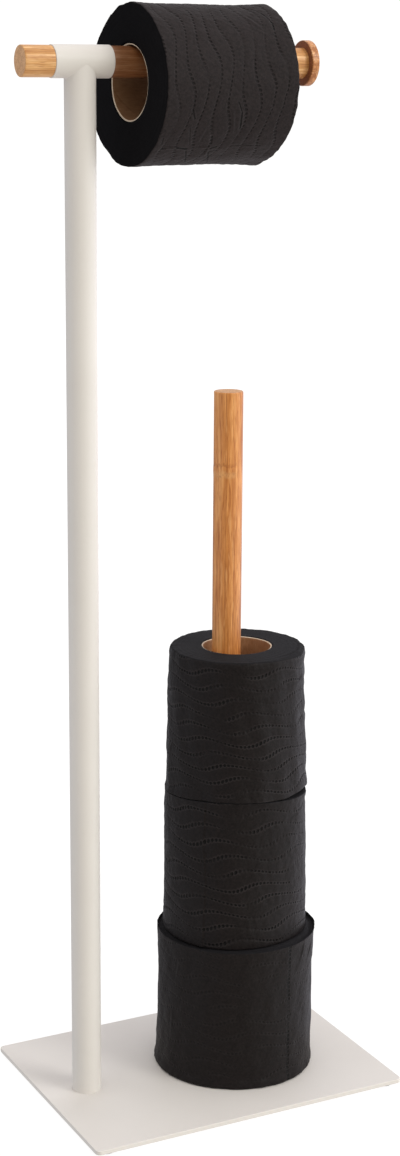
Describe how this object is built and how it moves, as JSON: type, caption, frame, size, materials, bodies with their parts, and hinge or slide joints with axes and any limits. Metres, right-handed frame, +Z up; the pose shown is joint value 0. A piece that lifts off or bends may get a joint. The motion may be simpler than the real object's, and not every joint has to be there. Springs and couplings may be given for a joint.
{
  "type": "toilet roll storage holder",
  "caption": "Free-standing toilet roll holder: white steel base and post, bamboo cross arm carrying a roll, and an upright bamboo rod on the base that stores spare rolls.",
  "frame": {"origin": "on the floor, below the middle of the whole outline", "axes": "+Z up; +X from the post towards the free end of the arm, along the long side of the base; +Y to the rear"},
  "size_m": [0.243, 0.1714, 0.732],
  "materials": {
    "white_powder_coat": "satin",
    "bamboo": "satin",
    "black_tissue": "matte",
    "core_cardboard": "matte",
    "grey_rubber": "matte",
    "zinc_steel": "satin",
    "insert_brass": "satin"
  },
  "bodies": {
    "stand": {"base_plate": "white_powder_coat", "foot_front_left": "grey_rubber", "foot_front_right": "grey_rubber", "foot_rear_left": "grey_rubber", "foot_rear_right": "grey_rubber", "post_tube": "white_powder_coat", "post_threaded_plug": "zinc_steel", "post_screw": "zinc_steel", "arm_sleeve": "white_powder_coat", "head_weld": "white_powder_coat", "arm_end_plug": "bamboo", "arm_rod": "bamboo", "arm_stop_disc": "bamboo", "storage_rod": "bamboo", "storage_rod_insert": "insert_brass", "storage_rod_screw": "zinc_steel"},
    "hanging_roll": {"hanging_roll_paper": "black_tissue", "hanging_roll_core": "core_cardboard"},
    "spare_bottom": {"spare_roll_bottom_paper": "black_tissue", "spare_roll_bottom_core": "core_cardboard"},
    "spare_middle": {"spare_roll_middle_paper": "black_tissue", "spare_roll_middle_core": "core_cardboard"},
    "spare_top": {"spare_roll_top_paper": "black_tissue", "spare_roll_top_core": "core_cardboard"}
  },
  "joints": [
    {"name": "hanging_roll_spin", "type": "hinge", "parent": "stand", "child": "hanging_roll", "pos_m": [-0.0025, 0, 0.68244], "axis": [0.998, 0.0628, 0], "continuous": true},
    {"name": "spare_bottom_lift", "type": "slide", "parent": "stand", "child": "spare_bottom", "axis": [0, 0, 1], "range_m": [0, 0.02]},
    {"name": "spare_middle_lift", "type": "slide", "parent": "spare_bottom", "child": "spare_middle", "axis": [0, 0, 1], "range_m": [0, 0.02]},
    {"name": "spare_top_lift", "type": "slide", "parent": "spare_middle", "child": "spare_top", "axis": [0, 0, 1], "range_m": [0, 0.28]}
  ]
}
